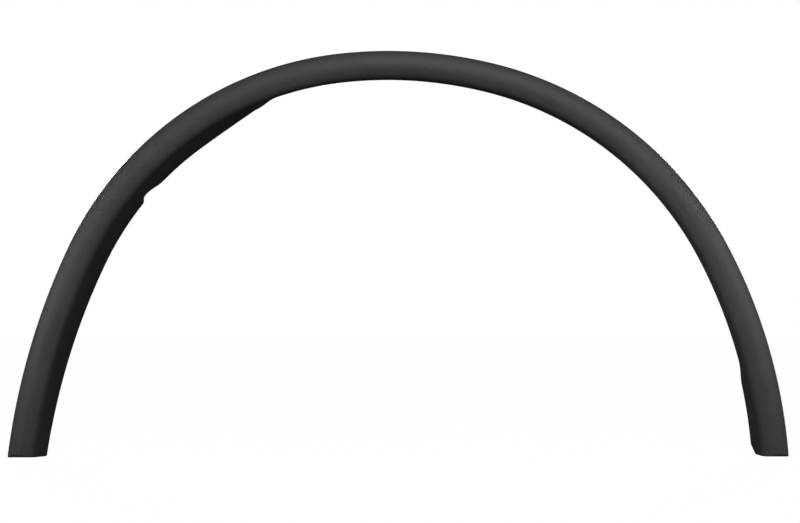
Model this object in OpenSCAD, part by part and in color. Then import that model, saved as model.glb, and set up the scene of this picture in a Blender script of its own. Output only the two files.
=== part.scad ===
// Wheel arch trim: one moulding that frames the wheel opening of a car.
// It is drawn as fitted: X along the car, +Z up, the face that shows towards -Y.
// The origin lies midway between the two lower ends, at their foot and halfway through the depth.
// A section is drawn as [in, back]: in from the outer rim towards the wheel, back from the front of the face.

/* [Arch outline] */
// Height of the crown above the lowest point, the foot of the left flange
arch_h = 472; // [440:1:500]
// Radius of the outer rim over the crown
crown_r = 512; // [480:1:560]
// Turn of the crown arc to the right of its highest point, in degrees
crown_right = 14; // [8:0.5:18]
// Turn of the crown arc to the left of its highest point, in degrees
crown_left = 6.5; // [4:0.5:12]
// Radius of the right shoulder
right_shoulder_r = 416; // [395:1:440]
// Turn of the right shoulder, in degrees
right_shoulder = 48; // [42:0.5:52]
// Radius of the right leg
right_leg_r = 618; // [560:1:700]
// Radius of the left shoulder
left_shoulder_r = 393; // [375:1:415]
// Turn of the left shoulder, in degrees
left_shoulder = 58.5; // [52:0.5:62]
// Radius of the left leg
left_leg_r = 804; // [700:1:950]
// How much higher the right end stops than that foot
right_end_rise = 4.5; // [1:0.5:12]

/* [Section] */
// Wall of the moulding
wall = 2.5; // [2:0.1:3]
// Width of the face, from the outer rim to the return flange
face_w = 30.5; // [28:0.5:38]
// Depth of the outer rim behind the front of the face
rim_depth = 12; // [11:0.5:16]
// Radius of the crowned face
face_r = 36; // [30:1:60]
// How far in from the rim the face is at its highest
face_top = 12; // [9:0.5:15]
// Radius between the face and the outer lip
lip_round = 3.6; // [3.2:0.1:5]
// Radius of the roll between the face and the return flange
roll_round = 7; // [5:0.5:9]
// Draft of the lip and of the flange, in degrees
draft = 4; // [2:0.5:6]
// Radius over the face at the lower ends
end_round = 5; // [4:0.5:8]
// Radius round the sides of the lower ends
corner_round = 1.5; // [1:0.1:2]

/* [Return flange] */
// Depth of the flange where it is deepest, above the left leg
deep_flange = 44; // [41:0.5:50]
// Depth that the flange has left at the left foot
foot_flange = 33; // [28:0.5:38]
// How far the flange reaches behind the rim over the crown
shallow_flange = 1.4; // [0.6:0.1:6]
// Extra depth that the shallow flange gains over each 100 mm to the right of the crown
flange_gain = 1.1; // [0:0.1:1.6]
// Where the deep flange steps down, along the rim to the left of the crown
step_at = 158; // [145:1:175]
// Length of the slope at that step
step_run = 32; // [20:1:44]
// Length over which the deep flange runs out above the step
runout_len = 86; // [60:1:110]
// Depth that it loses there
runout_drop = 18; // [12:0.5:21]
// Lower end of the notch in the deep flange, along the rim to the left of the crown
notch_at = 368; // [340:1:410]
// Length of the notch at the flange's edge
notch_len = 41; // [40:1:60]
// Depth of the notch
notch_depth = 10; // [5:0.5:12]
// Length of its steep lower side
notch_run = 11; // [8:1:14]
// Length of its long upper side
notch_rise = 28; // [16:1:28]
// Length of the deeper toe along the right leg
toe_len = 121; // [100:1:140]
// Extra depth of the toe
toe_depth = 6.5; // [3:0.5:10]
// Length of the slope above the toe
toe_run = 34; // [16:1:40]
// Height of the sloping cut below the toe
toe_cut = 11; // [9:1:18]
// How far the flange still reaches behind the rim at the right foot
toe_stub = 7.5; // [4:0.5:9]
// How much lower the flange hangs than the lip at the left foot
foot_slant = 4; // [0:0.5:5]
// Radius at the foot of the deep flange
foot_round = 2; // [1:0.5:4]

/* [Clip seats] */
// Number of clip seats behind the face
clip_count = 8; // [6:1:8]
// Distance from each end to its clip seat, along the rim, with the other seats spread evenly between
end_clip_gap = 100; // [95:1:130]
// Length of a seat along the arch
seat_len = 21; // [19:0.5:26]
// Width of a seat across the arch
seat_w = 19; // [17:0.5:21]
// Wall of a seat
seat_wall = 1.8; // [1.4:0.1:2.4]
// Thickness of the plate that a clip grips
plate_t = 2; // [1.5:0.1:2.6]
// Gap between that plate and the plane of the rim
plate_drop = 0.4; // [0.2:0.1:1]
// Width of the slot for the neck of a clip
slot_w = 8; // [6.5:0.1:9.5]
// Extra width of the slot at its mouth
slot_flare = 3; // [1:0.5:5]

/* [Ribs and pins] */
// Thickness of a rib
rib_t = 1.5; // [1:0.1:2]
// Gap between the ribs and the plane of the rim
rib_drop = 3; // [2:0.5:5]
// Ribs between two clip seats
ribs_each = 2; // [1:1:3]
// Distance from each end to its rib, along the rim
end_rib_gap = 60; // [54:1:75]
// Height of the locating pins above the foot of the left end
pin_h = 42; // [36:1:52]
// Radius of a locating pin
pin_r = 3; // [2.5:0.1:3.5]
// Length of a pin behind the plane of the rim
pin_len = 9; // [6:0.5:14]
// Length of a pin's tapered tip
pin_tip = 2; // [1:0.5:3]
// Radius of the boss that carries a pin
boss_r = 5; // [4.5:0.1:6.5]

/* [Hidden] */
plastic = "#3b3d3f";
smooth = 96;
slope = tan(draft);
mid_u = face_w / 2;
plate_back = rim_depth - plate_drop;
// Height of the legs' level rings, and how far above them the first square ring starts
level_top = 30;
level_gap = 12;
// Longest distance between two rings along the rim, and least distance beside a ring of a slope
ring_pitch = 22;
ring_gap = 5;
ease_steps = 6;

// Centres of the five tangent arcs of the outer rim, as [x, z] from below the crown
function next_centre(centre, from_r, to_r, angle) =
    centre + (from_r - to_r) * [cos(angle), sin(angle)];

crown_c = [0, arch_h - crown_r];
right_a = 90 - crown_right;
right_shoulder_c = next_centre(crown_c, crown_r, right_shoulder_r, right_a);
right_leg_a = right_a - right_shoulder;
right_leg_c = next_centre(right_shoulder_c, right_shoulder_r, right_leg_r, right_leg_a);
left_a = 90 + crown_left;
left_shoulder_c = next_centre(crown_c, crown_r, left_shoulder_r, left_a);
left_leg_a = left_a + left_shoulder;
left_leg_c = next_centre(left_shoulder_c, left_shoulder_r, left_leg_r, left_leg_a);

// Angle on a leg at a height, at a distance in from the rim, and the x there
function leg_c(side) = side > 0 ? right_leg_c : left_leg_c;
function leg_r(side) = side > 0 ? right_leg_r : left_leg_r;
function leg_angle(side, z, in = 0) =
    let (turn = asin((z - leg_c(side).y) / (leg_r(side) - in)))
    side > 0 ? turn : 180 - turn;
function leg_x(side, z, in = 0) = leg_c(side).x + (leg_r(side) - in) * cos(leg_angle(side, z, in));
function foot(side) = side > 0 ? right_end_rise : 0;

mid_x = (leg_x(-1, foot(-1)) + leg_x(1, foot(1))) / 2;

// Places along the rim are distances from the crown, negative to the left
function arc_len(r, angle) = r * angle * PI / 180;
function turn_of(length, r) = length / r * 180 / PI;
right_crown_len = arc_len(crown_r, crown_right);
right_bend_len = right_crown_len + arc_len(right_shoulder_r, right_shoulder);
left_crown_len = arc_len(crown_r, crown_left);
left_bend_len = left_crown_len + arc_len(left_shoulder_r, left_shoulder);
function leg_place(side, z) =
    side > 0 ? right_bend_len + arc_len(right_leg_r, right_leg_a - leg_angle(1, z))
    : -left_bend_len - arc_len(left_leg_r, leg_angle(-1, z) - left_leg_a);

// The arc at a place, as [centre, radius, angle]
function spot(s) =
    s > right_bend_len ? [right_leg_c, right_leg_r, right_leg_a - turn_of(s - right_bend_len, right_leg_r)]
    : s > right_crown_len
        ? [right_shoulder_c, right_shoulder_r, right_a - turn_of(s - right_crown_len, right_shoulder_r)]
    : s > -left_crown_len ? [crown_c, crown_r, 90 - turn_of(s, crown_r)]
    : s > -left_bend_len
        ? [left_shoulder_c, left_shoulder_r, left_a + turn_of(-s - left_crown_len, left_shoulder_r)]
    : [left_leg_c, left_leg_r, left_leg_a + turn_of(-s - left_bend_len, left_leg_r)];

// Depth of the flange's edge at a place: the tapering leg, the run-out, the step, the shallow stretch, the toe
left_end = leg_place(-1, foot(-1));
right_end = leg_place(1, foot(1));
step_foot = -step_at - step_run / 2;
runout_place = step_foot - runout_len;
toe_place = right_end - toe_len;
function part_of(from, to, s) = max(0, min(1, (s - from) / (to - from)));
function ease(t) = (1 - cos(180 * max(0, min(1, t)))) / 2;
function flange_back(s) =
    let (
        tapered = (deep_flange - foot_flange) * pow(part_of(runout_place, left_end, s), 2),
        run_out = runout_drop * pow(part_of(runout_place, step_foot, s), 2),
        stepped = ease((s - step_foot) / step_run),
        notched = ease((s + notch_at) / notch_run) * ease((notch_len - notch_at - s) / notch_rise),
        toed = ease((s - toe_place) / toe_run)
    )
    (deep_flange - tapered - run_out) * (1 - stepped)
        + (rim_depth + shallow_flange + flange_gain * max(0, s) / 100) * stepped
        - notch_depth * notched + toe_depth * toed;

// The same near a foot: round at the left foot, cut to a slope at the right one
function foot_back(side, h) =
    let (full = flange_back(leg_place(side, foot(side) + h)), low = max(foot_round - h, 0))
    side > 0 ? rim_depth + toe_stub + (full - rim_depth - toe_stub) * part_of(0, toe_cut, h)
    : full - foot_round + sqrt(foot_round * foot_round - low * low);

// Where a line from inside a circle leaves it
function leave(from, along, centre, r) =
    let (away = from - centre, b = away * along)
    from + (sqrt(b * b - away * away + r * r) - b) * along;
function bearing(v) = atan2(v.y, v.x);
function arc_points(centre, r, a, b, steps) =
    [for (i = [0:steps]) centre + r * [cos(a + (b - a) * i / steps), sin(a + (b - a) * i / steps)]];

// Skin of the section at a depth below its surface, from the lip at one depth to the flange at the same:
// up the lip, over the crowned face and round the roll, with the steps of those three arcs
lip_in = [cos(draft), sin(draft)];
flange_in = [-cos(draft), sin(draft)];
face_c = [face_top, face_r];
function lip_u(back, inset) = (rim_depth - back) * slope + inset / cos(draft);
function flange_u(back, inset) = face_w + back * slope - inset / cos(draft);
function skin(inset, back, steps) =
    let (
        lip_r = max(lip_round - inset, 0.4),
        roll_r = max(roll_round - inset, 0.4),
        r = face_r - inset,
        lip_c = leave([0, rim_depth] + (inset + lip_r) * lip_in, [sin(draft), -cos(draft)], face_c, r - lip_r),
        roll_c = leave([flange_u(face_r, 0), face_r] + (inset + roll_r) * flange_in,
            [-sin(draft), -cos(draft)], face_c, r - roll_r),
        lip_a = bearing(lip_c - face_c),
        roll_a = bearing(roll_c - face_c),
        face = arc_points(face_c, r, lip_a, roll_a, steps[1])
    )
    concat(
        [[lip_u(back, inset), back]],
        arc_points(lip_c, lip_r, draft - 180, lip_a, steps[0]),
        [for (i = [1:steps[1] - 1]) face[i]],
        arc_points(roll_c, roll_r, roll_a, -draft, steps[2]),
        [[flange_u(back, inset), back]]
    );

// A ring of the shell: the outer skin, the flange's edge, the channel from the flange back to the lip
outer_steps = [5, 7, 6];
outer = skin(0, rim_depth, outer_steps);
inner = skin(wall, rim_depth, [2, 5, 4]);
flange_at = len(outer) - 1;
corner_at = flange_at + 3;
lip_at = corner_at + len(inner) - 1;
ring_len = lip_at + 1;

// The levels of the left foot slope down to the flange
foot_back_low = foot_back(-1, 0);
function level_z(st, p) = st[3] + (st[4] < 0 ? foot_slant * (1 - p.y / foot_back_low) : 0);

// A station is [centre, radius, angle, height, side, limit of the face, limit of the channel, flange, inset]:
// a square one has an angle, and a level one has a height
function section(st) = concat(
    [for (p = st[8] > 0 ? skin(st[8], rim_depth, outer_steps) : outer) [p.x, max(p.y, st[5])]],
    [[flange_u(st[7], st[8]), st[7]], [flange_u(st[7], wall), st[7]]],
    [for (i = [len(inner) - 1:-1:0]) [inner[i].x, max(inner[i].y, st[6])]]
);
function place(st, p) =
    let (angle = is_undef(st[2]) ? leg_angle(st[4], level_z(st, p), p.x) : st[2])
    [st[0].x + (st[1] - p.x) * cos(angle), p.y, st[0].y + (st[1] - p.x) * sin(angle)];

// Level stations of a foot, from its end up: the round over the face, then the leg
function round_in(h, r, top) = top - sqrt(max(0, r * r - pow(max(top - h, 0), 2)));
heights = concat(
    [0, corner_round * 0.3, corner_round * 0.99, wall],
    [for (part = [0.3, 0.6, 1]) wall + (end_round - wall) * part],
    [(end_round + toe_cut) / 2, toe_cut, level_top]
);
wall_at = 3;
function level(side, h) =
    [leg_c(side), leg_r(side), undef, foot(side) + h, side,
        round_in(h, end_round, end_round), h < wall ? rim_depth : round_in(h, end_round - wall, end_round),
        foot_back(side, h), round_in(h, corner_round, corner_round)];

// Square stations between the feet, with more of them on the slopes of the flange's edge
function square_station(s) = let (at = spot(s)) [at[0], at[1], at[2], undef, 0, 0, 0, flange_back(s), 0];
function sorted(v) =
    len(v) < 2 ? v
    : let (rest = [for (i = [1:len(v) - 1]) v[i]])
    concat(sorted([for (x = rest) if (x < v[0]) x]), [v[0]], sorted([for (x = rest) if (x >= v[0]) x]));
function slope_places(from, run) = [for (i = [0:ease_steps]) from + run * i / ease_steps];
slopes = concat(
    [runout_place],
    slope_places(step_foot, step_run),
    slope_places(-notch_at, notch_run),
    slope_places(notch_len - notch_at - notch_rise, notch_rise),
    slope_places(toe_place, toe_run)
);
first_place = leg_place(-1, foot(-1) + level_top + level_gap);
last_place = leg_place(1, foot(1) + level_top + level_gap);
ring_count = ceil((last_place - first_place) / ring_pitch);
places = sorted(concat(slopes,
    [for (i = [0:ring_count])
        let (s = first_place + (last_place - first_place) * i / ring_count)
        if (min([for (x = slopes) abs(x - s)]) > ring_gap) s]));

stations = concat(
    [for (h = heights) level(-1, h)],
    [for (s = places) square_station(s)],
    [for (i = [len(heights) - 1:-1:0]) level(1, heights[i])]
);

// Shell: the loft through all stations, with its ends closed and the channel open at the back
end_split = floor(flange_at / 2);
function end_faces(at) = concat(
    [for (i = [0:flange_at - 1]) [at + (i < end_split ? lip_at : corner_at), at + i, at + i + 1]],
    [[at + lip_at, at + end_split, at + corner_at]],
    [[at + flange_at, at + flange_at + 1, at + flange_at + 2, at + corner_at]]
);
function reversed(v) = [for (i = [len(v) - 1:-1:0]) v[i]];
module shell() {
    last = len(stations) - 1;
    edge_loop = [for (i = [0:ring_len - 1]) i];
    end_loop = [for (i = edge_loop) if (i <= corner_at || i == lip_at) i];
    strips = [for (j = [0:last - 1])
        let (loop = j < wall_at || j >= last - wall_at ? end_loop : edge_loop, n = len(loop), a = j * ring_len)
        for (i = [0:n - 1])
            let (p = a + loop[i], q = a + loop[(i + 1) % n])
            each [[q, p, p + ring_len], [q, p + ring_len, q + ring_len]]];
    channel_end = [for (i = [corner_at:lip_at]) i];
    polyhedron(
        points = [for (st = stations) each [for (p = section(st)) place(st, p)]],
        faces = concat(
            strips,
            end_faces(0),
            [for (face = end_faces(last * ring_len)) reversed(face)],
            [[for (i = channel_end) wall_at * ring_len + i]],
            [reversed([for (i = channel_end) (last - wall_at) * ring_len + i])]
        )
    );
}

// Puts a piece at a place on the rim: X points out from the wheel, Y back and Z along the arch
module at_arch(s)
    translate([spot(s)[0].x, 0, spot(s)[0].y])
        rotate([0, -spot(s)[2], 0])
            translate([spot(s)[1], 0, 0])
                children();

// A block of the section that stands on the middle of the wall, from one distance in to another
function in_wall(u) = face_r - sqrt(pow(face_r - wall / 2, 2) - pow(u - face_top, 2));
stand_steps = 6;
module standing(from, to, top, length)
    translate([0, 0, -length / 2])
        linear_extrude(length)
            polygon(concat(
                [[-from, top]],
                [for (i = [0:stand_steps])
                    let (u = from + (to - from) * i / stand_steps)
                    [-u, in_wall(u)]],
                [[-to, top]]
            ));

// Clip seat: three walls and a plate, with a slot that a clip slides into along the arch
module clip_seat()
    difference() {
        standing(mid_u - seat_w / 2, mid_u + seat_w / 2, plate_back, seat_len);
        translate([-mid_u - seat_w / 2 + seat_wall, 0, seat_wall - seat_len / 2])
            cube([seat_w - 2 * seat_wall, plate_back - plate_t, seat_len]);
        translate([-mid_u, 0, 0])
            rotate([-90, 0, 0])
                linear_extrude(rim_depth) {
                    circle(slot_w / 2, $fn = smooth);
                    polygon([[-slot_w / 2, 0], [slot_w / 2, 0], [slot_w / 2, -seat_len / 4],
                        [(slot_w + slot_flare) / 2, -seat_len], [-(slot_w + slot_flare) / 2, -seat_len],
                        [-slot_w / 2, -seat_len / 4]]);
                }
    }

// Rib across the channel, from the lip to the flange
module rib()
    intersection() {
        translate([0, 0, -rib_t / 2])
            linear_extrude(rib_t)
                polygon([for (p = skin(wall / 2, rim_depth, [2, 5, 3])) [-p.x, p.y]]);
        translate([-2 * face_w, 0, -rib_t])
            cube([2 * face_w, rim_depth - rib_drop, 2 * rib_t]);
    }

// Locating pin with its boss
module pin(x, z)
    translate([x, in_wall(mid_u), z])
        rotate([-90, 0, 0]) {
            cylinder(r = boss_r, h = rim_depth - in_wall(mid_u), $fn = smooth);
            cylinder(r = pin_r, h = rim_depth + pin_len - pin_tip - in_wall(mid_u), $fn = smooth);
            translate([0, 0, rim_depth + pin_len - pin_tip - in_wall(mid_u)])
                cylinder(r1 = pin_r, r2 = pin_r / 2, h = pin_tip, $fn = smooth);
        }

function spread(from, to, i, spaces) = from + (to - from) * i / spaces;
clip_places = [for (i = [0:clip_count - 1])
    spread(left_end + end_clip_gap, right_end - end_clip_gap, i, clip_count - 1)];
rib_places = concat(
    [left_end + end_rib_gap, right_end - end_rib_gap],
    [for (i = [0:clip_count - 2]) for (k = [1:ribs_each])
        spread(clip_places[i], clip_places[i + 1], k, ribs_each + 1)]
);

module arch_moulding()
    color(plastic)
        translate([-mid_x, -deep_flange / 2, 0]) {
            shell();
            for (s = clip_places)
                at_arch(s) clip_seat();
            for (s = rib_places)
                at_arch(s) rib();
            for (side = [-1, 1])
                pin(leg_x(side, pin_h, mid_u), pin_h);
        }

arch_moulding();
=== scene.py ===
"""Looks of the wheel arch trim: a fine mesh of the moulding, its grained plastic, and a plain studio."""
import math

import bmesh
import bpy
import numpy as np
from mathutils import Matrix, Vector


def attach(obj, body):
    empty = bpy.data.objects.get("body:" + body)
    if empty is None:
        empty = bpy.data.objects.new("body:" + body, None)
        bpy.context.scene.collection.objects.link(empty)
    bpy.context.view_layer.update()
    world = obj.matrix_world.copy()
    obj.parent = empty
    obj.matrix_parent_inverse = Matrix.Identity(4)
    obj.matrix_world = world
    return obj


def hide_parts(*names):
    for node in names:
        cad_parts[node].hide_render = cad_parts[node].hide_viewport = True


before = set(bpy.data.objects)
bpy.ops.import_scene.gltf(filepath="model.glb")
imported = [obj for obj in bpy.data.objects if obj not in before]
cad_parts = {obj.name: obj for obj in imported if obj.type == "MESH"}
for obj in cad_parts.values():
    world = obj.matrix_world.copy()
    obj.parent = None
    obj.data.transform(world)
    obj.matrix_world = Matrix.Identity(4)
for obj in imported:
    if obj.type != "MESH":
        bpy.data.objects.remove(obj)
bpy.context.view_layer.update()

MM = 0.001

# Arch outline, in mm: five tangent arcs of the outer rim, seen from the front
ARCH_HEIGHT = 472.0
CROWN_R, CROWN_RIGHT, CROWN_LEFT = 512.0, 14.0, 6.5
RIGHT_SHOULDER_R, RIGHT_SHOULDER, RIGHT_LEG_R = 416.0, 48.0, 618.0
LEFT_SHOULDER_R, LEFT_SHOULDER, LEFT_LEG_R = 393.0, 58.5, 804.0
RIGHT_END_RISE = 4.5

# Section
WALL, FACE_W, RIM_DEPTH = 2.5, 30.5, 12.0
FACE_R, FACE_TOP, LIP_ROUND, ROLL_ROUND = 36.0, 12.0, 3.6, 7.0
DRAFT = math.radians(4)
END_ROUND, CORNER_ROUND = 5.0, 1.5
RIM_EDGE, FLANGE_EDGE = 0.5, 0.9

# Return flange
DEEP_FLANGE, FOOT_FLANGE, SHALLOW_FLANGE, FLANGE_GAIN = 44.0, 33.0, 1.4, 1.1
STEP_AT, STEP_RUN, RUNOUT_LEN, RUNOUT_DROP = 158.0, 32.0, 86.0, 18.0
NOTCH_AT, NOTCH_LEN, NOTCH_DEPTH, NOTCH_RUN, NOTCH_RISE = 368.0, 41.0, 10.0, 11.0, 28.0
TOE_LEN, TOE_DEPTH, TOE_RUN, TOE_CUT, TOE_STUB = 121.0, 6.5, 34.0, 11.0, 7.5
FOOT_ROUND, FOOT_SLANT = 2.0, 4.0

# Behind the face
CLIP_COUNT, END_CLIP_GAP = 8, 100.0
SEAT_LEN, SEAT_W, SEAT_WALL, PLATE_T, PLATE_DROP = 21.0, 19.0, 1.8, 2.0, 0.4
SLOT_W, SLOT_FLARE = 8.0, 3.0
RIB_T, RIB_DROP, RIBS_EACH, END_RIB_GAP = 1.5, 3.0, 2, 60.0
PIN_H, PIN_R, PIN_LEN, PIN_TIP, BOSS_R = 42.0, 3.0, 9.0, 2.0, 5.0

MID_U = FACE_W / 2
PLATE_BACK = RIM_DEPTH - PLATE_DROP

# How finely the moulding is drawn. A ring is one section of it, level near the feet and square to the arch
# elsewhere
CLOSED_HEIGHTS = [0, 0.1, 0.3, 0.6, 1.0, 1.5, 2.0, WALL]
OPEN_HEIGHTS = [WALL, 2.7, 3.1, 3.6, 4.2, 5.0, 6.5, 8, TOE_CUT - 1, TOE_CUT, TOE_CUT + 1,
                14, 17, 20, 23, 26, 30]
LEVEL_TOP, LEVEL_GAP = OPEN_HEIGHTS[-1], 12.0
RING_PITCH, SLOPE_STEPS, RING_LEAST = 4.0, 14, 1.0
OUTER_STEPS, INNER_STEPS, EDGE_STEPS = (8, 16, 10), (4, 12, 8), 3
LEAST_LIP_R = 0.4
BASE_POINTS, SLOT_POINTS, PIN_POINTS = 13, 17, 40
SEAT_SOFT, RIB_SOFT, PIN_SOFT, SOFT_STEPS = 0.25, 0.2, 0.4, 2
TIP_OUT, TIP_DOWN, TIP_IN = 0.2, 0.15, 0.1
SOFT_ANGLE, SHARP_ANGLE = math.radians(40), math.radians(32)
SAME_POINT = 0.001


# Outline of the rim

def turned(centre, from_r, to_r, angle):
    return centre + (from_r - to_r) * np.array([math.cos(angle), math.sin(angle)])


RIGHT_ANGLE = math.radians(90 - CROWN_RIGHT)
RIGHT_LEG_ANGLE = RIGHT_ANGLE - math.radians(RIGHT_SHOULDER)
LEFT_ANGLE = math.radians(90 + CROWN_LEFT)
LEFT_LEG_ANGLE = LEFT_ANGLE + math.radians(LEFT_SHOULDER)
CROWN_C = np.array([0.0, ARCH_HEIGHT - CROWN_R])
RIGHT_SHOULDER_C = turned(CROWN_C, CROWN_R, RIGHT_SHOULDER_R, RIGHT_ANGLE)
RIGHT_LEG_C = turned(RIGHT_SHOULDER_C, RIGHT_SHOULDER_R, RIGHT_LEG_R, RIGHT_LEG_ANGLE)
LEFT_SHOULDER_C = turned(CROWN_C, CROWN_R, LEFT_SHOULDER_R, LEFT_ANGLE)
LEFT_LEG_C = turned(LEFT_SHOULDER_C, LEFT_SHOULDER_R, LEFT_LEG_R, LEFT_LEG_ANGLE)
RIGHT_CROWN_LEN = CROWN_R * math.radians(CROWN_RIGHT)
RIGHT_BEND_LEN = RIGHT_CROWN_LEN + RIGHT_SHOULDER_R * math.radians(RIGHT_SHOULDER)
LEFT_CROWN_LEN = CROWN_R * math.radians(CROWN_LEFT)
LEFT_BEND_LEN = LEFT_CROWN_LEN + LEFT_SHOULDER_R * math.radians(LEFT_SHOULDER)


def leg(side):
    """Centre and radius of the leg's arc: side is 1 for the right leg and -1 for the left one."""
    return (RIGHT_LEG_C, RIGHT_LEG_R) if side > 0 else (LEFT_LEG_C, LEFT_LEG_R)


def leg_angle(side, z, u):
    """Angle on the leg at a height, at distances in from the rim."""
    centre, r = leg(side)
    turn = np.arcsin((z - centre[1]) / (r - u))
    return turn if side > 0 else math.pi - turn


def leg_x(side, z, u=0.0):
    centre, r = leg(side)
    return centre[0] + (r - u) * math.cos(leg_angle(side, z, u))


def leg_place(side, z):
    """Distance along the rim from the crown to a height on a leg, negative to the left."""
    if side > 0:
        return RIGHT_BEND_LEN + RIGHT_LEG_R * (RIGHT_LEG_ANGLE - leg_angle(1, z, 0.0))
    return -LEFT_BEND_LEN - LEFT_LEG_R * (leg_angle(-1, z, 0.0) - LEFT_LEG_ANGLE)


def spot(s):
    """The arc at a distance along the rim: its centre, radius and the angle there."""
    if s > RIGHT_BEND_LEN:
        return RIGHT_LEG_C, RIGHT_LEG_R, RIGHT_LEG_ANGLE - (s - RIGHT_BEND_LEN) / RIGHT_LEG_R
    if s > RIGHT_CROWN_LEN:
        return RIGHT_SHOULDER_C, RIGHT_SHOULDER_R, RIGHT_ANGLE - (s - RIGHT_CROWN_LEN) / RIGHT_SHOULDER_R
    if s > -LEFT_CROWN_LEN:
        return CROWN_C, CROWN_R, math.pi / 2 - s / CROWN_R
    if s > -LEFT_BEND_LEN:
        return LEFT_SHOULDER_C, LEFT_SHOULDER_R, LEFT_ANGLE + (-s - LEFT_CROWN_LEN) / LEFT_SHOULDER_R
    return LEFT_LEG_C, LEFT_LEG_R, LEFT_LEG_ANGLE + (-s - LEFT_BEND_LEN) / LEFT_LEG_R


def foot(side):
    return RIGHT_END_RISE if side > 0 else 0.0


MID_X = (leg_x(-1, foot(-1)) + leg_x(1, foot(1))) / 2
LEFT_END, RIGHT_END = leg_place(-1, foot(-1)), leg_place(1, foot(1))
STEP_FOOT = -STEP_AT - STEP_RUN / 2
RUNOUT_PLACE = STEP_FOOT - RUNOUT_LEN
TOE_PLACE = RIGHT_END - TOE_LEN


def part_of(start, end, s):
    return min(1.0, max(0.0, (s - start) / (end - start)))


def ease(t):
    return (1 - math.cos(math.pi * min(1.0, max(0.0, t)))) / 2


def flange_back(s):
    """Depth of the flange's edge: tapering leg, run-out, step, shallow stretch and toe, less the notch."""
    tapered = (DEEP_FLANGE - FOOT_FLANGE) * part_of(RUNOUT_PLACE, LEFT_END, s) ** 2
    run_out = RUNOUT_DROP * part_of(RUNOUT_PLACE, STEP_FOOT, s) ** 2
    stepped = ease((s - STEP_FOOT) / STEP_RUN)
    notched = ease((s + NOTCH_AT) / NOTCH_RUN) * ease((NOTCH_LEN - NOTCH_AT - s) / NOTCH_RISE)
    toed = ease((s - TOE_PLACE) / TOE_RUN)
    return ((DEEP_FLANGE - tapered - run_out) * (1 - stepped)
            + (RIM_DEPTH + SHALLOW_FLANGE + FLANGE_GAIN * max(0.0, s) / 100) * stepped
            - NOTCH_DEPTH * notched + TOE_DEPTH * toed)


def foot_back(side, h):
    """The same near a foot: round at the left one, cut to a slope at the right one."""
    full = flange_back(leg_place(side, foot(side) + h))
    if side > 0:
        stub = RIM_DEPTH + TOE_STUB
        return stub + (full - stub) * part_of(0, TOE_CUT, h)
    low = max(FOOT_ROUND - h, 0.0)
    return full - FOOT_ROUND + math.sqrt(FOOT_ROUND ** 2 - low ** 2)


# Section of the moulding, as [in from the rim, back from the front of the face]

def arc(centre, r, a, b, steps):
    t = np.linspace(a, b, steps + 1)
    return np.c_[centre[0] + r * np.cos(t), centre[1] + r * np.sin(t)]


def leave(start, along, centre, r):
    """Where a line from inside a circle leaves it."""
    away = start - centre
    b = away @ along
    return start + (math.sqrt(b * b - away @ away + r * r) - b) * along


def bearing(v):
    return math.atan2(v[1], v[0]) + 2 * math.pi


def flange_u(back, inset):
    return FACE_W + back * math.tan(DRAFT) - inset / math.cos(DRAFT)


def skin(inset, steps):
    """Lip radius, crowned face and roll, at a depth below the surface."""
    lip_r, roll_r, r = max(LIP_ROUND - inset, LEAST_LIP_R), ROLL_ROUND - inset, FACE_R - inset
    face_c = np.array([FACE_TOP, FACE_R])
    lip_in = np.array([math.cos(DRAFT), math.sin(DRAFT)])
    flange_in = np.array([-math.cos(DRAFT), math.sin(DRAFT)])
    lip_c = leave(np.array([0, RIM_DEPTH]) + (inset + lip_r) * lip_in,
                  np.array([math.sin(DRAFT), -math.cos(DRAFT)]), face_c, r - lip_r)
    roll_c = leave(np.array([flange_u(FACE_R, 0), FACE_R]) + (inset + roll_r) * flange_in,
                   np.array([-math.sin(DRAFT), -math.cos(DRAFT)]), face_c, r - roll_r)
    lip_a, roll_a = bearing(lip_c - face_c), bearing(roll_c - face_c)
    return np.vstack([arc(lip_c, lip_r, math.pi + DRAFT, lip_a, steps[0]),
                      arc(face_c, r, lip_a, roll_a, steps[1])[1:-1],
                      arc(roll_c, roll_r, roll_a, 2 * math.pi - DRAFT, steps[2])])


INNER_SKIN = skin(WALL, INNER_STEPS)[::-1]


def section(back, face_limit, channel_limit, inset):
    """One closed ring of the moulding: rim edge, face, flange, its rounded edge and the channel."""
    outer = skin(inset, OUTER_STEPS)
    outer[:, 1] = np.maximum(outer[:, 1], face_limit)
    inner = INNER_SKIN.copy()
    inner[:, 1] = np.maximum(inner[:, 1], channel_limit)
    edge = FLANGE_EDGE
    rim_u = inset / math.cos(DRAFT)
    outer_u, inner_u = flange_u(back, inset), flange_u(back, WALL)
    flange_foot = max(channel_limit, RIM_DEPTH)
    half_pi = math.pi / 2
    return np.vstack([
        arc((rim_u + RIM_EDGE, RIM_DEPTH - RIM_EDGE), RIM_EDGE, half_pi, math.pi, EDGE_STEPS),
        outer,
        arc((outer_u - edge, back - edge), edge, 0, half_pi, EDGE_STEPS),
        arc((inner_u + edge, back - edge), edge, half_pi, math.pi, EDGE_STEPS),
        [[flange_u(flange_foot, WALL), flange_foot]],
        inner,
        arc((WALL - RIM_EDGE, RIM_DEPTH - RIM_EDGE), RIM_EDGE, 0, half_pi, EDGE_STEPS),
    ])


def rounded(h, r, total):
    """How far a rounded edge still is from its full size, at a height over the end."""
    return total - math.sqrt(max(0.0, r * r - max(total - h, 0.0) ** 2))


def placed(ring, centre, r, angle):
    """A ring put on its arc, in metres in the object's frame."""
    u, back = ring[:, 0], ring[:, 1]
    return np.c_[centre[0] + (r - u) * np.cos(angle) - MID_X, back - DEEP_FLANGE / 2,
                 centre[1] + (r - u) * np.sin(angle)] * MM


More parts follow.
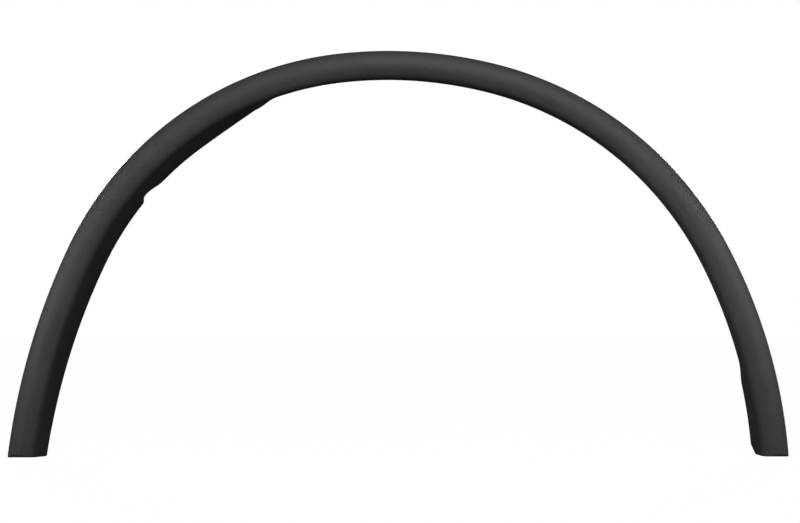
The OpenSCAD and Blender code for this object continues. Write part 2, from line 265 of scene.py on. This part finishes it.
def level_ring(side, h, open_channel):
    """A level ring of a leg. Those of the left foot slope down to the flange."""
    centre, r = leg(side)
    channel = rounded(h, END_ROUND - WALL, END_ROUND) if open_channel else RIM_DEPTH
    ring = section(foot_back(side, h), rounded(h, END_ROUND, END_ROUND), channel,
                   rounded(h, CORNER_ROUND, CORNER_ROUND))
    slant = FOOT_SLANT * (1 - ring[:, 1] / foot_back(-1, 0)) if side < 0 else 0
    return placed(ring, centre, r, leg_angle(side, foot(side) + h + slant, ring[:, 0]))


def square_ring(s):
    centre, r, angle = spot(s)
    return placed(section(flange_back(s), 0.0, 0.0, 0.0), centre, r, angle)


def leg_rings(side):
    """Level rings from a foot upwards: solid across its closed end, then open at the back."""
    closed = [level_ring(side, h, False) for h in CLOSED_HEIGHTS]
    return closed + [level_ring(side, h, True) for h in OPEN_HEIGHTS]


def slope(start, run):
    return list(np.linspace(start, start + run, SLOPE_STEPS + 1))


def square_places():
    """Places of the rings square to the arch: closer together where the flange changes its depth."""
    first = leg_place(-1, foot(-1) + LEVEL_TOP + LEVEL_GAP)
    last = leg_place(1, foot(1) + LEVEL_TOP + LEVEL_GAP)
    slopes = (slope(STEP_FOOT, STEP_RUN) + slope(-NOTCH_AT, NOTCH_RUN)
              + slope(NOTCH_LEN - NOTCH_AT - NOTCH_RISE, NOTCH_RISE) + slope(TOE_PLACE, TOE_RUN))
    even = np.linspace(first, last, math.ceil((last - first) / RING_PITCH) + 1)
    return sorted(slopes + [s for s in even if min(abs(s - x) for x in slopes) > RING_LEAST])


def loft(bm, rings):
    """Joins closed rings of as many points into a skin and closes both ends."""
    verts = [[bm.verts.new(p) for p in ring] for ring in rings]
    count = len(verts[0])
    for a, b in zip(verts[:-1], verts[1:]):
        for i in range(count):
            j = (i + 1) % count
            bm.faces.new((a[i], a[j], b[j], b[i]))
    bm.faces.new(verts[0][::-1])
    bm.faces.new(verts[-1])


# Small forms behind the face, drawn at the rim's place zero: X out from the wheel, Y back, Z along the arch

def at_arch(s):
    centre, r, angle = spot(s)
    c, n = math.cos(angle), math.sin(angle)
    along = Matrix(((c, 0, -n), (0, 1, 0), (n, 0, c)))
    rim = Vector((centre[0] + r * c - MID_X, -DEEP_FLANGE / 2, centre[1] + r * n))
    return Matrix.Translation(rim * MM) @ along.to_4x4()


def wall_middle(u):
    return FACE_R - math.sqrt((FACE_R - WALL / 2) ** 2 - (u - FACE_TOP) ** 2)


def prism(name, outline, along_axis, low, high):
    """A closed outline in mm, drawn across an axis and stretched along it."""
    bm = bmesh.new()
    ends = []
    for t in (low, high):
        point = (lambda a, b: (a, b, t)) if along_axis == "Z" else (lambda a, b: (a, t, b))
        ends.append([bm.verts.new(Vector(point(a, b)) * MM) for a, b in outline])
    count = len(outline)
    for i in range(count):
        j = (i + 1) % count
        bm.faces.new((ends[0][i], ends[0][j], ends[1][j], ends[1][i]))
    bm.faces.new(ends[0][::-1])
    bm.faces.new(ends[1])
    bmesh.ops.recalc_face_normals(bm, faces=bm.faces)
    mesh = bpy.data.meshes.new(name)
    bm.to_mesh(mesh)
    bm.free()
    obj = bpy.data.objects.new(name, mesh)
    bpy.context.scene.collection.objects.link(obj)
    return obj


def combine(obj, operation, others):
    for other in others:
        change = obj.modifiers.new(operation.lower(), "BOOLEAN")
        change.operation, change.object, change.solver = operation, other, "EXACT"


def shaped(obj, helpers):
    """Mesh of an object with its modifiers applied; the object and its helpers are cleared away."""
    bpy.context.view_layer.update()
    mesh = bpy.data.meshes.new_from_object(obj.evaluated_get(bpy.context.evaluated_depsgraph_get()))
    for each in (obj, *helpers):
        bpy.data.objects.remove(each)
    return mesh


def cut_and_softened(obj, cutters, edge):
    """Takes the cutters out of a block, rounds its edges and returns the mesh."""
    combine(obj, "DIFFERENCE", cutters)
    soft = obj.modifiers.new("soft edge", "BEVEL")
    soft.width, soft.segments = edge * MM, SOFT_STEPS
    soft.limit_method, soft.angle_limit = "ANGLE", SOFT_ANGLE
    return shaped(obj, cutters)


def clip_seat():
    """Block on the inside of the face, with a pocket and a keyed slot for a body clip."""
    low, high = MID_U - SEAT_W / 2, MID_U + SEAT_W / 2
    base = [(-u, wall_middle(u)) for u in np.linspace(low, high, BASE_POINTS)]
    outline = [(-low, PLATE_BACK), *base, (-high, PLATE_BACK)]
    block = prism("seat block", outline, "Z", -SEAT_LEN / 2, SEAT_LEN / 2)

    inside, plate_front = SEAT_W / 2 - SEAT_WALL, PLATE_BACK - PLATE_T
    outline = [(-MID_U - inside, 0), (-MID_U + inside, 0),
               (-MID_U + inside, plate_front), (-MID_U - inside, plate_front)]
    pocket = prism("seat pocket", outline, "Z", SEAT_WALL - SEAT_LEN / 2, SEAT_LEN)

    half, mouth = SLOT_W / 2, (SLOT_W + SLOT_FLARE) / 2
    turns = np.linspace(math.pi, 2 * math.pi, SLOT_POINTS)
    outline = [(-MID_U + half * math.cos(t), half * math.sin(t)) for t in turns]
    outline += [(-MID_U + half, SEAT_LEN / 4), (-MID_U + mouth, SEAT_LEN)]
    outline += [(-MID_U - mouth, SEAT_LEN), (-MID_U - half, SEAT_LEN / 4)]
    slot = prism("seat slot", outline, "Y", 0, RIM_DEPTH)
    return cut_and_softened(block, (pocket, slot), SEAT_SOFT)


def cross_rib():
    """Thin rib across the channel, from the lip to the flange."""
    top = RIM_DEPTH - RIB_DROP
    mid = skin(WALL / 2, INNER_STEPS)
    mid = mid[mid[:, 1] < top]
    lip_u = (RIM_DEPTH - top) * math.tan(DRAFT) + WALL / 2
    outline = [(-lip_u, top), *[(-u, back) for u, back in mid], (-flange_u(top, WALL / 2), top)]
    return cut_and_softened(prism("rib", outline, "Z", -RIB_T / 2, RIB_T / 2), (), RIB_SOFT)


def locating_pin(bm, x, z):
    """Boss and pin turned round one axis, with a tapered tip."""
    rim, tip = RIM_DEPTH, RIM_DEPTH + PIN_LEN
    profile = [(BOSS_R, wall_middle(MID_U)), (BOSS_R, rim - PIN_SOFT), (BOSS_R - PIN_SOFT, rim),
               (PIN_R + PIN_SOFT, rim), (PIN_R, rim + PIN_SOFT), (PIN_R, tip - PIN_TIP),
               (PIN_R / 2 + TIP_OUT, tip - TIP_DOWN), (PIN_R / 2 - TIP_IN, tip), (0, tip)]
    angles = [2 * math.pi * k / PIN_POINTS for k in range(PIN_POINTS)]
    circles = []
    for r, back in profile:
        y = back - DEEP_FLANGE / 2
        circle = [(x - MID_X + r * math.cos(t), y, z + r * math.sin(t)) for t in angles]
        circles.append([bm.verts.new(Vector(p) * MM) for p in (circle if r else circle[:1])])
    for a, b in zip(circles[:-1], circles[1:]):
        for k in range(PIN_POINTS):
            j = (k + 1) % PIN_POINTS
            bm.faces.new((a[j], a[k], b[k], b[j]) if len(b) > 1 else (a[j], a[k], b[0]))
    bm.faces.new(circles[0])


def sound(bm, name):
    """Object of a mesh, with its doubled points joined and its faces turned outwards."""
    bmesh.ops.remove_doubles(bm, verts=bm.verts, dist=SAME_POINT * MM)
    bmesh.ops.triangulate(bm, faces=bm.faces)
    bmesh.ops.dissolve_degenerate(bm, edges=bm.edges, dist=SAME_POINT * MM)
    bmesh.ops.recalc_face_normals(bm, faces=bm.faces)
    mesh = bpy.data.meshes.new(name)
    bm.to_mesh(mesh)
    bm.free()
    obj = bpy.data.objects.new(name, mesh)
    bpy.context.scene.collection.objects.link(obj)
    return obj


def shell():
    bm = bmesh.new()
    loft(bm, leg_rings(-1) + [square_ring(s) for s in square_places()] + leg_rings(1)[::-1])
    return sound(bm, "shell")


def back_forms():
    """Clip seats, cross ribs and pins, all in one mesh."""
    bm = bmesh.new()
    clips = np.linspace(LEFT_END + END_CLIP_GAP, RIGHT_END - END_CLIP_GAP, CLIP_COUNT)
    ribs = []
    for a, b in zip(clips[:-1], clips[1:]):
        ribs += list(np.linspace(a, b, RIBS_EACH + 2)[1:-1])
    ribs += [LEFT_END + END_RIB_GAP, RIGHT_END - END_RIB_GAP]
    for mesh, places in ((clip_seat(), clips), (cross_rib(), ribs)):
        for s in places:
            put = mesh.copy()
            put.transform(at_arch(s))
            bm.from_mesh(put)
            bpy.data.meshes.remove(put)
        bpy.data.meshes.remove(mesh)
    for side in (-1, 1):
        locating_pin(bm, leg_x(side, PIN_H, MID_U), PIN_H)
    return sound(bm, "back forms")


def arch_moulding():
    """The whole moulding: the lofted shell and the forms behind its face, fused into one skin."""
    body, forms = shell(), back_forms()
    combine(body, "UNION", [forms])
    mesh = shaped(body, [forms])
    mesh.name = "arch_moulding_plastic"
    mesh.polygons.foreach_set("use_smooth", [True] * len(mesh.polygons))
    mesh.set_sharp_from_angle(angle=SHARP_ANGLE)
    obj = bpy.data.objects.new("arch_moulding_plastic", mesh)
    bpy.context.scene.collection.objects.link(obj)
    return obj


# Materials. The real grain is about 0.4 mm: it is drawn coarser, the finest that shows at this size

CLOUD_SIZE, GRAIN_SIZE, PORE_SIZE, GRAIN_DEPTH = 40 * MM, 1.5 * MM, 1.6 * MM, 0.18 * MM
POLYPROPYLENE_IOR = 1.49


def srgb(code):
    """Linear colour of an sRGB hex value."""
    channels = [int(code[i:i + 2], 16) / 255 for i in (1, 3, 5)]
    return (*[c / 12.92 if c <= 0.04045 else ((c + 0.055) / 1.055) ** 2.4 for c in channels], 1.0)


def add(tree, kind, settings=(), **links):
    """Adds a node, gives its properties and sockets their values, and links what feeds it."""
    node = tree.nodes.new(kind)
    for key, value in dict(settings).items():
        if hasattr(node, key):
            setattr(node, key, value)
        else:
            node.inputs[key].default_value = value
    for key, source in links.items():
        tree.links.new(source, node.inputs[key.replace("_", " ")])
    return node


def grained_polypropylene():
    """Rubber-modified polypropylene, moulded with a fine grain: charcoal, matt, with a broad soft sheen."""
    material = bpy.data.materials.new("grained_polypropylene")
    material.use_nodes = True
    tree = material.node_tree
    shader = tree.nodes["Principled BSDF"]
    place = add(tree, "ShaderNodeTexCoord").outputs["Object"]
    # Flow of the melt and handling leave cloudy patches of slightly different grey
    clouds = add(tree, "ShaderNodeTexNoise", {"Scale": 1 / CLOUD_SIZE, "Detail": 4.0, "Roughness": 0.6},
                 Vector=place)
    tone = add(tree, "ShaderNodeValToRGB", Fac=clouds.outputs["Fac"])
    tone.color_ramp.elements[0].position, tone.color_ramp.elements[0].color = 0.35, srgb("#363a3f")
    tone.color_ramp.elements[1].position, tone.color_ramp.elements[1].color = 0.65, srgb("#3e4044")
    tree.links.new(tone.outputs["Color"], shader.inputs["Base Color"])
    grain = add(tree, "ShaderNodeTexVoronoi",
                {"Scale": 1 / GRAIN_SIZE, "feature": "SMOOTH_F1", "Smoothness": 0.6}, Vector=place)
    pores = add(tree, "ShaderNodeTexNoise", {"Scale": 1 / PORE_SIZE, "Detail": 2.0}, Vector=place)
    relief = add(tree, "ShaderNodeMath", {"operation": "ADD"})
    tree.links.new(grain.outputs["Distance"], relief.inputs[0])
    tree.links.new(pores.outputs["Fac"], relief.inputs[1])
    bump = add(tree, "ShaderNodeBump", {"Strength": 0.6, "Distance": GRAIN_DEPTH},
               Height=relief.outputs["Value"])
    tree.links.new(bump.outputs["Normal"], shader.inputs["Normal"])
    gloss = add(tree, "ShaderNodeMapRange",
                {"From Min": 0.3, "From Max": 0.7, "To Min": 0.48, "To Max": 0.56},
                Value=clouds.outputs["Fac"])
    tree.links.new(gloss.outputs["Result"], shader.inputs["Roughness"])
    shader.inputs["IOR"].default_value = POLYPROPYLENE_IOR
    return material


FLOOR_WHITE, FLOOR_WHITE_SHARE = 1.068, 0.93


def studio_floor():
    """Matt grey board that throws back little light. The camera sees it white, with a faint shadow."""
    material = bpy.data.materials.new("studio_floor")
    material.use_nodes = True
    tree = material.node_tree
    tree.nodes.remove(tree.nodes["Principled BSDF"])
    seen = add(tree, "ShaderNodeLightPath")
    board = add(tree, "ShaderNodeBsdfDiffuse", {"Color": srgb("#606060")})
    white = add(tree, "ShaderNodeEmission", {"Color": srgb("#ffffff"), "Strength": FLOOR_WHITE})
    part = add(tree, "ShaderNodeMath", {"operation": "MULTIPLY"})
    tree.links.new(seen.outputs["Is Camera Ray"], part.inputs[0])
    part.inputs[1].default_value = FLOOR_WHITE_SHARE
    mix = add(tree, "ShaderNodeMixShader", Fac=part.outputs["Value"])
    tree.links.new(board.outputs["BSDF"], mix.inputs[1])
    tree.links.new(white.outputs["Emission"], mix.inputs[2])
    tree.links.new(mix.outputs["Shader"], tree.nodes["Material Output"].inputs["Surface"])
    return material


# Piece

moulding = arch_moulding()
moulding.data.materials.append(grained_polypropylene())
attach(moulding, "root")
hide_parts("arch_moulding")

# Studio

scene = bpy.context.scene
scene.view_settings.view_transform = "Standard"

FLOOR_SIZE, FLOOR_DROP, ROOM_LIGHT = 14.0, 0.0005, 0.08
bpy.ops.mesh.primitive_plane_add(size=FLOOR_SIZE, location=(0, 0, -FLOOR_DROP))
floor = bpy.context.object
floor.name = "studio_floor"
floor.data.materials.append(studio_floor())

world = bpy.data.worlds.new("studio")
scene.world = world
world.use_nodes = True
sky = world.node_tree
room = sky.nodes["Background"]
room.inputs["Color"].default_value = srgb("#ffffff")
room.inputs["Strength"].default_value = ROOM_LIGHT
backdrop = add(sky, "ShaderNodeBackground", {"Color": srgb("#ffffff"), "Strength": 1.0})
path = add(sky, "ShaderNodeLightPath")
choice = add(sky, "ShaderNodeMixShader", Fac=path.outputs["Is Camera Ray"])
sky.links.new(room.outputs["Background"], choice.inputs[1])
sky.links.new(backdrop.outputs["Background"], choice.inputs[2])
sky.links.new(choice.outputs["Shader"], sky.nodes["World Output"].inputs["Surface"])


def softbox(name, place, target, size, power, spread=180):
    """An area light. A narrow spread is that of a honeycomb grid in front of the box."""
    lamp = bpy.data.lights.new(name, "AREA")
    lamp.shape, lamp.size, lamp.size_y, lamp.energy = "RECTANGLE", size[0], size[1], power
    lamp.spread = math.radians(spread)
    obj = bpy.data.objects.new(name, lamp)
    obj.location = place
    obj.rotation_euler = (Vector(target) - Vector(place)).to_track_quat("-Z", "Y").to_euler()
    obj.visible_camera = False
    scene.collection.objects.link(obj)


# Place and target in metres, size in metres, power in watts, spread in degrees
softbox("front_softbox", (0.12, -1.55, 0.9), (0.05, 0, 0.36), (1.0, 0.4), 11.6)
softbox("left_softbox", (-1.0, -1.05, 0.34), (-0.4, 0, 0.2), (0.4, 0.4), 0.3, 44)
softbox("right_softbox", (1.0, -1.05, 0.42), (0.42, 0, 0.2), (0.4, 0.4), 0.24, 36)
softbox("low_right_softbox", (0.9, -0.35, 0.12), (-0.27, 0, 0.4), (0.2, 0.2), 0.022, 24)
softbox("low_left_softbox", (-0.9, -0.35, 0.12), (0.36, 0, 0.25), (0.2, 0.2), 0.08, 24)
softbox("left_back_softbox", (-1.3, 1.2, 0.85), (-0.38, 0, 0.28), (0.4, 0.4), 1.1, 32)
softbox("right_back_softbox", (1.3, 1.2, 0.85), (0.38, 0, 0.28), (0.4, 0.4), 1.1, 32)

# Camera: level, its distance taken from the plane of the lip. LEVEL_ROW is the row of its own height
LIP_PLANE = -DEEP_FLANGE / 2 + 4
CAMERA_DISTANCE, CAMERA_X, CAMERA_Z = 0.87, 0.0024, 0.160
FOCAL_PX, FRAME_W, FRAME_H, LEVEL_ROW = 756.0, 800, 523, 321.5
SENSOR_W = 36.0
camera = bpy.data.objects.new("camera", bpy.data.cameras.new("camera"))
scene.collection.objects.link(camera)
camera.location = (CAMERA_X, LIP_PLANE * MM - CAMERA_DISTANCE, CAMERA_Z)
camera.rotation_euler = (math.radians(90), 0, 0)
camera.data.sensor_width = SENSOR_W
camera.data.lens = SENSOR_W * FOCAL_PX / FRAME_W
camera.data.shift_y = (LEVEL_ROW - FRAME_H / 2) / FRAME_W
scene.camera = camera
